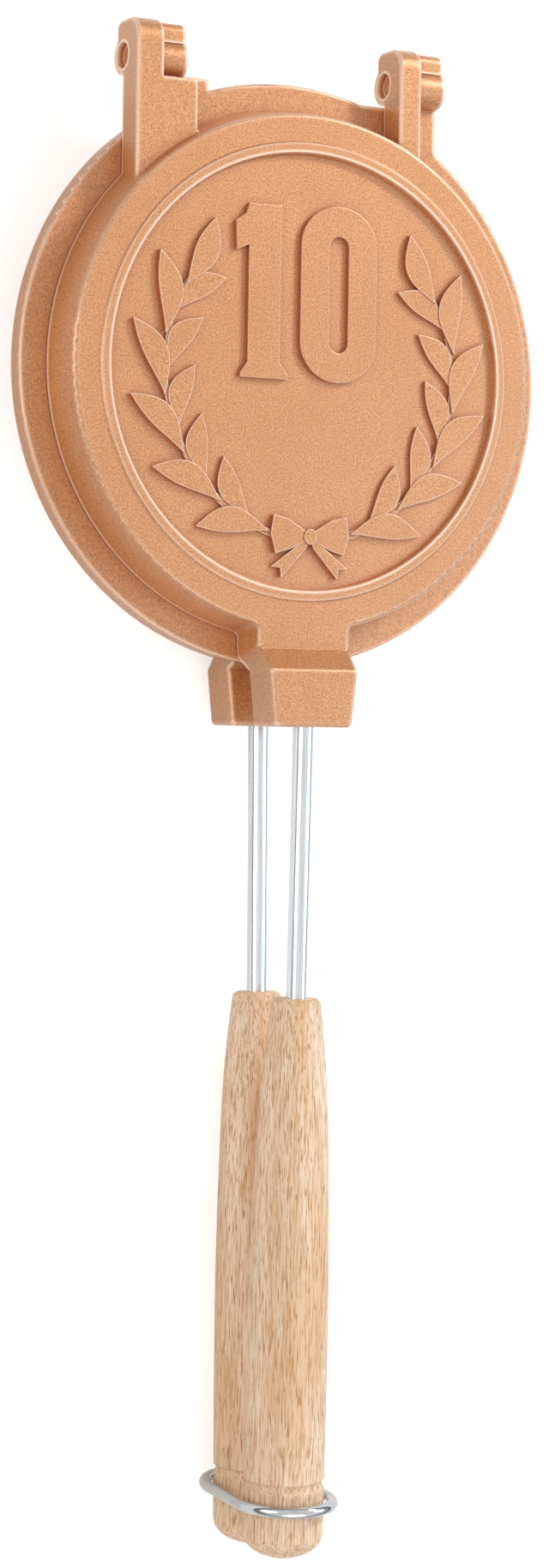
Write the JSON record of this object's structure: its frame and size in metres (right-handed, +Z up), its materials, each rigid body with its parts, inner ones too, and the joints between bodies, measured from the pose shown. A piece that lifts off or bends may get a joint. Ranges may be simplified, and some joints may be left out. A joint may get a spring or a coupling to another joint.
{
  "type": "stovetop sandwich maker",
  "caption": "Round die-cast stovetop sandwich maker with hinged pan halves, steel rods, turned wooden handles and an oval wire latch ring.",
  "frame": {"origin": "centre of the recessed outer field of the lower half, the face that lies on the burner", "axes": "+Z up through both shut halves, +Y towards the hinges, handles along -Y, +X to the right seen from the handles"},
  "size_m": [0.14, 0.3651, 0.0422],
  "materials": {
    "casting": "satin",
    "steel": "brushed",
    "beech": "matte"
  },
  "bodies": {
    "lower_half": {"lower_pan": "casting", "lower_rod": "steel", "lower_handle": "beech", "hinge_pin_left": "casting", "hinge_pin_right": "casting"},
    "upper_half": {"upper_pan": "casting", "upper_rod": "steel", "upper_handle": "beech"},
    "latch": {"latch_ring": "steel"}
  },
  "joints": [
    {"name": "lid_hinge", "type": "hinge", "parent": "lower_half", "child": "upper_half", "pos_m": [0, 0.0723, 0.0102], "axis": [-1, 0, 0], "range_deg": [0, 105]},
    {"name": "ring_slide", "type": "slide", "parent": "lower_half", "child": "latch", "axis": [0, -1, 0], "range_m": [0, 0.03]}
  ]
}
